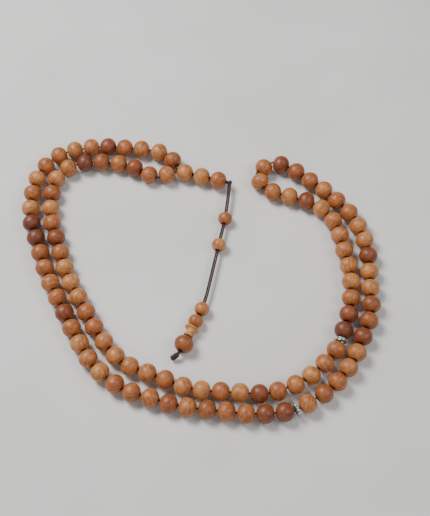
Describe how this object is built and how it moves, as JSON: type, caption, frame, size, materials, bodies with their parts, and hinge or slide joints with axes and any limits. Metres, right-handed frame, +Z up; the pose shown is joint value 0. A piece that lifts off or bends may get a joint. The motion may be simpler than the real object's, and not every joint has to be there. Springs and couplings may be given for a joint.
{
  "type": "prayer beads",
  "caption": "Strand of turned wooden prayer beads on one cord, with silver divider rings and a tail of sliding counters, a turned stem, a ball and a knot.",
  "frame": {"origin": "on the table, under the middle of the strand's bounding box as it lies", "axes": "+Z up off the table, +X along the wider side of the laid loop, +Y towards the neck beads and the top knot"},
  "size_m": [0.1558, 0.1358, 0.008],
  "materials": {
    "bead_wood": "satin, oiled, with fine grain",
    "stem_wood": "satin, lighter honey wood",
    "cord": "matte twisted cord, dark brown",
    "knot_cord": "matte twisted cord, dark brown",
    "silver": "granulated silver, darkened between the grains"
  },
  "bodies": {
    "strand": {"loop_cord": "cord", "top_knot": "knot_cord"},
    "tail_upper": {"tail_cord_upper": "cord"},
    "tail_lower": {"tail_cord_lower": "cord", "end_knot": "knot_cord"},
    "counter_bead_upper": {"counter_bead_upper": "bead_wood"},
    "counter_bead_lower": {"counter_bead_lower": "bead_wood"},
    "first_row_bead_01": {"first_row_bead_01": "bead_wood"},
    "first_row_bead_02": {"first_row_bead_02": "bead_wood"},
    "first_row_beads_03_05": {"first_row_beads_03_05": "bead_wood"},
    "first_row_beads_06_07": {"first_row_beads_06_07": "bead_wood"},
    "first_row_bead_08": {"first_row_bead_08": "bead_wood"},
    "first_row_bead_09": {"first_row_bead_09": "bead_wood"},
    "first_row_bead_10": {"first_row_bead_10": "bead_wood"},
    "first_row_beads_11_12": {"first_row_beads_11_12": "bead_wood"},
    "first_row_beads_13_16": {"first_row_beads_13_16": "bead_wood"},
    "first_row_beads_17_20": {"first_row_beads_17_20": "bead_wood"},
    "first_row_beads_21_22": {"first_row_beads_21_22": "bead_wood"},
    "first_row_beads_23_24": {"first_row_beads_23_24": "bead_wood"},
    "first_row_beads_25_27": {"first_row_beads_25_27": "bead_wood"},
    "first_row_beads_28_31": {"first_row_beads_28_31": "bead_wood"},
    "first_row_beads_32_33": {"first_row_beads_32_33": "bead_wood"},
    "second_row_beads_01_02": {"second_row_beads_01_02": "bead_wood"},
    "second_row_beads_03_04": {"second_row_beads_03_04": "bead_wood"},
    "second_row_beads_05_07": {"second_row_beads_05_07": "bead_wood"},
    "second_row_beads_08_11": {"second_row_beads_08_11": "bead_wood"},
    "second_row_beads_12_13": {"second_row_beads_12_13": "bead_wood"},
    "second_row_beads_14_15": {"second_row_beads_14_15": "bead_wood"},
    "second_row_beads_16_18": {"second_row_beads_16_18": "bead_wood"},
    "second_row_bead_19": {"second_row_bead_19": "bead_wood"},
    "second_row_bead_20": {"second_row_bead_20": "bead_wood"},
    "second_row_bead_21": {"second_row_bead_21": "bead_wood"},
    "second_row_beads_22_24": {"second_row_beads_22_24": "bead_wood"},
    "second_row_bead_25": {"second_row_bead_25": "bead_wood"},
    "second_row_bead_26": {"second_row_bead_26": "bead_wood"},
    "second_row_beads_27_29": {"second_row_beads_27_29": "bead_wood"},
    "second_row_beads_30_31": {"second_row_beads_30_31": "bead_wood"},
    "second_row_beads_32_33": {"second_row_beads_32_33": "bead_wood"},
    "third_row_bead_01": {"third_row_bead_01": "bead_wood"},
    "third_row_beads_02_03": {"third_row_beads_02_03": "bead_wood"},
    "third_row_beads_04_05": {"third_row_beads_04_05": "bead_wood"},
    "third_row_beads_06_09": {"third_row_beads_06_09": "bead_wood"},
    "third_row_beads_10_13": {"third_row_beads_10_13": "bead_wood"},
    "third_row_beads_14_15": {"third_row_beads_14_15": "bead_wood"},
    "third_row_beads_16_19": {"third_row_beads_16_19": "bead_wood"},
    "third_row_beads_20_23": {"third_row_beads_20_23": "bead_wood"},
    "third_row_beads_24_25": {"third_row_beads_24_25": "bead_wood"},
    "third_row_bead_26": {"third_row_bead_26": "bead_wood"},
    "third_row_bead_27": {"third_row_bead_27": "bead_wood"},
    "third_row_bead_28": {"third_row_bead_28": "bead_wood"},
    "third_row_beads_29_30": {"third_row_beads_29_30": "bead_wood"},
    "third_row_beads_31_32": {"third_row_beads_31_32": "bead_wood"},
    "third_row_bead_33": {"third_row_bead_33": "bead_wood"},
    "neck_beads_01_03": {"neck_beads_01_03": "bead_wood"},
    "divider_ring_1": {"divider_ring_1": "silver"},
    "divider_ring_2": {"divider_ring_2": "silver"},
    "end_bead_upper": {"end_bead_upper": "bead_wood"},
    "end_bead_lower": {"end_bead_lower": "bead_wood"},
    "turned_stem": {"turned_stem": "stem_wood"},
    "end_ball": {"end_ball": "bead_wood"}
  },
  "joints": [
    {"name": "tail_swing", "type": "hinge", "parent": "strand", "child": "tail_upper", "pos_m": [0.0143, 0.04465, 0.004], "axis": [0, 0, 1], "range_deg": [-16, 30]},
    {"name": "tail_bend", "type": "hinge", "parent": "tail_upper", "child": "tail_lower", "pos_m": [0.0035, -0.0145, 0.0031], "axis": [0, 0, 1], "range_deg": [-45, 30]},
    {"name": "counter_upper_slide", "type": "slide", "parent": "tail_upper", "child": "counter_bead_upper", "axis": [-0.2088, -0.978, 0], "range_m": [0, 0.0079]},
    {"name": "counter_lower_slide", "type": "slide", "parent": "tail_upper", "child": "counter_bead_lower", "axis": [-0.2088, -0.978, 0], "range_m": [-0.0079, 0.024]},
    {"name": "turn_first_row_bead_01", "type": "hinge", "parent": "strand", "child": "first_row_bead_01", "pos_m": [-0.0115, 0.05675, 0.004], "axis": [-0.5241, 0.8517, 0], "continuous": true},
    {"name": "turn_first_row_bead_02", "type": "hinge", "parent": "strand", "child": "first_row_bead_02", "pos_m": [-0.01775, 0.06125, 0.004], "axis": [-0.9594, 0.2822, 0], "continuous": true},
    {"name": "turn_first_row_beads_03_05", "type": "hinge", "parent": "strand", "child": "first_row_beads_03_05", "pos_m": [-0.02583, 0.06283, 0.004], "axis": [-0.9962, 0.0866, 0], "continuous": true},
    {"name": "turn_first_row_beads_06_07", "type": "hinge", "parent": "strand", "child": "first_row_beads_06_07", "pos_m": [-0.04875, 0.06375, 0.004], "axis": [-0.9806, -0.1961, 0], "continuous": true},
    {"name": "turn_first_row_bead_08", "type": "hinge", "parent": "strand", "child": "first_row_bead_08", "pos_m": [-0.06325, 0.05925, 0.004], "axis": [-0.8222, -0.5692, 0], "continuous": true},
    {"name": "turn_first_row_bead_09", "type": "hinge", "parent": "strand", "child": "first_row_bead_09", "pos_m": [-0.06875, 0.05375, 0.004], "axis": [-0.5692, -0.8222, 0], "continuous": true},
    {"name": "turn_first_row_bead_10", "type": "hinge", "parent": "strand", "child": "first_row_bead_10", "pos_m": [-0.07225, 0.04675, 0.004], "axis": [-0.3162, -0.9487, 0], "continuous": true},
    {"name": "turn_first_row_beads_11_12", "type": "hinge", "parent": "strand", "child": "first_row_beads_11_12", "pos_m": [-0.07362, 0.03913, 0.004], "axis": [-0.0322, -0.9995, 0], "continuous": true},
    {"name": "turn_first_row_beads_13_16", "type": "hinge", "parent": "strand", "child": "first_row_beads_13_16", "pos_m": [-0.07275, 0.02381, 0.004], "axis": [0.321, -0.9471, 0], "continuous": true},
    {"name": "turn_first_row_beads_17_20", "type": "hinge", "parent": "strand", "child": "first_row_beads_17_20", "pos_m": [-0.06225, -0.0055, 0.004], "axis": [0.4472, -0.8944, 0], "continuous": true},
    {"name": "turn_first_row_beads_21_22", "type": "hinge", "parent": "strand", "child": "first_row_beads_21_22", "pos_m": [-0.048, -0.03338, 0.004], "axis": [0.5098, -0.8603, 0], "continuous": true},
    {"name": "turn_first_row_beads_23_24", "type": "hinge", "parent": "strand", "child": "first_row_beads_23_24", "pos_m": [-0.03887, -0.046, 0.004], "axis": [0.7809, -0.6247, 0], "continuous": true},
    {"name": "turn_first_row_beads_25_27", "type": "hinge", "parent": "strand", "child": "first_row_beads_25_27", "pos_m": [-0.02575, -0.05467, 0.004], "axis": [0.9549, -0.2971, 0], "continuous": true},
    {"name": "turn_first_row_beads_28_31", "type": "hinge", "parent": "strand", "child": "first_row_beads_28_31", "pos_m": [-0.00313, -0.06094, 0.004], "axis": [0.9937, -0.1122, 0], "continuous": true},
    {"name": "turn_first_row_beads_32_33", "type": "hinge", "parent": "strand", "child": "first_row_beads_32_33", "pos_m": [0.02788, -0.06363, 0.004], "axis": [0.9954, 0.0963, 0], "continuous": true},
    {"name": "turn_second_row_beads_01_02", "type": "hinge", "parent": "strand", "child": "second_row_beads_01_02", "pos_m": [0.04487, -0.05937, 0.004], "axis": [0.8462, 0.5328, 0], "continuous": true},
    {"name": "turn_second_row_beads_03_04", "type": "hinge", "parent": "strand", "child": "second_row_beads_03_04", "pos_m": [0.05738, -0.05, 0.004], "axis": [0.6207, 0.784, 0], "continuous": true},
    {"name": "turn_second_row_beads_05_07", "type": "hinge", "parent": "strand", "child": "second_row_beads_05_07", "pos_m": [0.066, -0.03742, 0.004], "axis": [0.3861, 0.9224, 0], "continuous": true},
    {"name": "turn_second_row_beads_08_11", "type": "hinge", "parent": "strand", "child": "second_row_beads_08_11", "pos_m": [0.07356, -0.01562, 0.004], "axis": [0.0161, 0.9999, 0], "continuous": true},
    {"name": "turn_second_row_beads_12_13", "type": "hinge", "parent": "strand", "child": "second_row_beads_12_13", "pos_m": [0.07287, 0.01512, 0.004], "axis": [-0.2964, 0.9551, 0], "continuous": true},
    {"name": "turn_second_row_beads_14_15", "type": "hinge", "parent": "strand", "child": "second_row_beads_14_15", "pos_m": [0.067, 0.02913, 0.004], "axis": [-0.6247, 0.7809, 0], "continuous": true},
    {"name": "turn_second_row_beads_16_18", "type": "hinge", "parent": "strand", "child": "second_row_beads_16_18", "pos_m": [0.0565, 0.04092, 0.004], "axis": [-0.7788, 0.6273, 0], "continuous": true},
    {"name": "turn_second_row_bead_19", "type": "hinge", "parent": "strand", "child": "second_row_bead_19", "pos_m": [0.03775, 0.0545, 0.004], "axis": [-0.9285, 0.3714, 0], "continuous": true},
    {"name": "turn_second_row_bead_20", "type": "hinge", "parent": "strand", "child": "second_row_bead_20", "pos_m": [0.03, 0.05275, 0.004], "axis": [-0.7761, -0.6306, 0], "continuous": true},
    {"name": "turn_second_row_bead_21", "type": "hinge", "parent": "strand", "child": "second_row_bead_21", "pos_m": [0.028, 0.04525, 0.004], "axis": [0.4258, -0.9048, 0], "continuous": true},
    {"name": "turn_second_row_beads_22_24", "type": "hinge", "parent": "strand", "child": "second_row_beads_22_24", "pos_m": [0.03367, 0.03983, 0.004], "axis": [0.9529, -0.3032, 0], "continuous": true},
    {"name": "turn_second_row_bead_25", "type": "hinge", "parent": "strand", "child": "second_row_bead_25", "pos_m": [0.055, 0.03125, 0.004], "axis": [0.7372, -0.6757, 0], "continuous": true},
    {"name": "turn_second_row_bead_26", "type": "hinge", "parent": "strand", "child": "second_row_bead_26", "pos_m": [0.05975, 0.025, 0.004], "axis": [0.4472, -0.8944, 0], "continuous": true},
    {"name": "turn_second_row_beads_27_29", "type": "hinge", "parent": "strand", "child": "second_row_beads_27_29", "pos_m": [0.06225, 0.01775, 0.004], "axis": [0.1961, -0.9806, 0], "continuous": true},
    {"name": "turn_second_row_beads_30_31", "type": "hinge", "parent": "strand", "child": "second_row_beads_30_31", "pos_m": [0.06575, -0.00487, 0.004], "axis": [-0.0644, -0.9979, 0], "continuous": true},
    {"name": "turn_second_row_beads_32_33", "type": "hinge", "parent": "strand", "child": "second_row_beads_32_33", "pos_m": [0.06375, -0.02013, 0.004], "axis": [-0.326, -0.9454, 0], "continuous": true},
    {"name": "turn_third_row_bead_01", "type": "hinge", "parent": "strand", "child": "third_row_bead_01", "pos_m": [0.0575, -0.03625, 0.004], "axis": [-0.5241, -0.8517, 0], "continuous": true},
    {"name": "turn_third_row_beads_02_03", "type": "hinge", "parent": "strand", "child": "third_row_beads_02_03", "pos_m": [0.05262, -0.04213, 0.004], "axis": [-0.7385, -0.6743, 0], "continuous": true},
    {"name": "turn_third_row_beads_04_05", "type": "hinge", "parent": "strand", "child": "third_row_beads_04_05", "pos_m": [0.04038, -0.05137, 0.004], "axis": [-0.935, -0.3547, 0], "continuous": true},
    {"name": "turn_third_row_beads_06_09", "type": "hinge", "parent": "strand", "child": "third_row_beads_06_09", "pos_m": [0.02562, -0.05525, 0.004], "axis": [-0.9979, 0.0644, 0], "continuous": true},
    {"name": "turn_third_row_beads_10_13", "type": "hinge", "parent": "strand", "child": "third_row_beads_10_13", "pos_m": [-0.00513, -0.05206, 0.004], "axis": [-0.9296, 0.3686, 0], "continuous": true},
    {"name": "turn_third_row_beads_14_15", "type": "hinge", "parent": "strand", "child": "third_row_beads_14_15", "pos_m": [-0.033, -0.03887, 0.004], "axis": [-0.6247, 0.7809, 0], "continuous": true},
    {"name": "turn_third_row_beads_16_19", "type": "hinge", "parent": "strand", "child": "third_row_beads_16_19", "pos_m": [-0.04238, -0.02606, 0.004], "axis": [-0.4789, 0.8779, 0], "continuous": true},
    {"name": "turn_third_row_beads_20_23", "type": "hinge", "parent": "strand", "child": "third_row_beads_20_23", "pos_m": [-0.05669, 0.00169, 0.004], "axis": [-0.3065, 0.9519, 0], "continuous": true},
    {"name": "turn_third_row_beads_24_25", "type": "hinge", "parent": "strand", "child": "third_row_beads_24_25", "pos_m": [-0.065, 0.03138, 0.004], "axis": [0, 1, 0], "continuous": true},
    {"name": "turn_third_row_bead_26", "type": "hinge", "parent": "strand", "child": "third_row_bead_26", "pos_m": [-0.0635, 0.04675, 0.004], "axis": [0.3714, 0.9285, 0], "continuous": true},
    {"name": "turn_third_row_bead_27", "type": "hinge", "parent": "strand", "child": "third_row_bead_27", "pos_m": [-0.0585, 0.0525, 0.004], "axis": [0.8682, 0.4961, 0], "continuous": true},
    {"name": "turn_third_row_bead_28", "type": "hinge", "parent": "strand", "child": "third_row_bead_28", "pos_m": [-0.05125, 0.05525, 0.004], "axis": [0.9806, 0.1961, 0], "continuous": true},
    {"name": "turn_third_row_beads_29_30", "type": "hinge", "parent": "strand", "child": "third_row_beads_29_30", "pos_m": [-0.04362, 0.05563, 0.004], "axis": [0.9954, -0.0963, 0], "continuous": true},
    {"name": "turn_third_row_beads_31_32", "type": "hinge", "parent": "strand", "child": "third_row_beads_31_32", "pos_m": [-0.02863, 0.05262, 0.004], "axis": [0.8742, -0.4856, 0], "continuous": true},
    {"name": "turn_third_row_bead_33", "type": "hinge", "parent": "strand", "child": "third_row_bead_33", "pos_m": [-0.014, 0.049, 0.004], "axis": [0.9138, 0.4061, 0], "continuous": true},
    {"name": "turn_neck_beads_01_03", "type": "hinge", "parent": "strand", "child": "neck_beads_01_03", "pos_m": [-0.00575, 0.05, 0.004], "axis": [0.9662, -0.2577, 0], "continuous": true},
    {"name": "turn_divider_ring_1", "type": "hinge", "parent": "strand", "child": "divider_ring_1", "pos_m": [0.0405, -0.062, 0.004], "axis": [0.8944, 0.4472, 0], "continuous": true},
    {"name": "turn_divider_ring_2", "type": "hinge", "parent": "strand", "child": "divider_ring_2", "pos_m": [0.05975, -0.032, 0.004], "axis": [-0.2425, -0.9701, 0], "continuous": true},
    {"name": "turn_end_bead_upper", "type": "hinge", "parent": "tail_lower", "child": "end_bead_upper", "pos_m": [0.00224, -0.01733, 0.0031], "axis": [-0.4067, -0.9135, 0], "continuous": true},
    {"name": "turn_end_bead_lower", "type": "hinge", "parent": "tail_lower", "child": "end_bead_lower", "pos_m": [-0.00028, -0.023, 0.0031], "axis": [-0.4067, -0.9135, 0], "continuous": true},
    {"name": "turn_turned_stem", "type": "hinge", "parent": "tail_lower", "child": "turned_stem", "pos_m": [-0.00154, -0.02583, 0.0031], "axis": [-0.4045, -0.9085, 0.1053], "continuous": true},
    {"name": "turn_end_ball", "type": "hinge", "parent": "tail_lower", "child": "end_ball", "pos_m": [-0.005, -0.03359, 0.004], "axis": [-0.4045, -0.9085, 0.1053], "continuous": true}
  ]
}
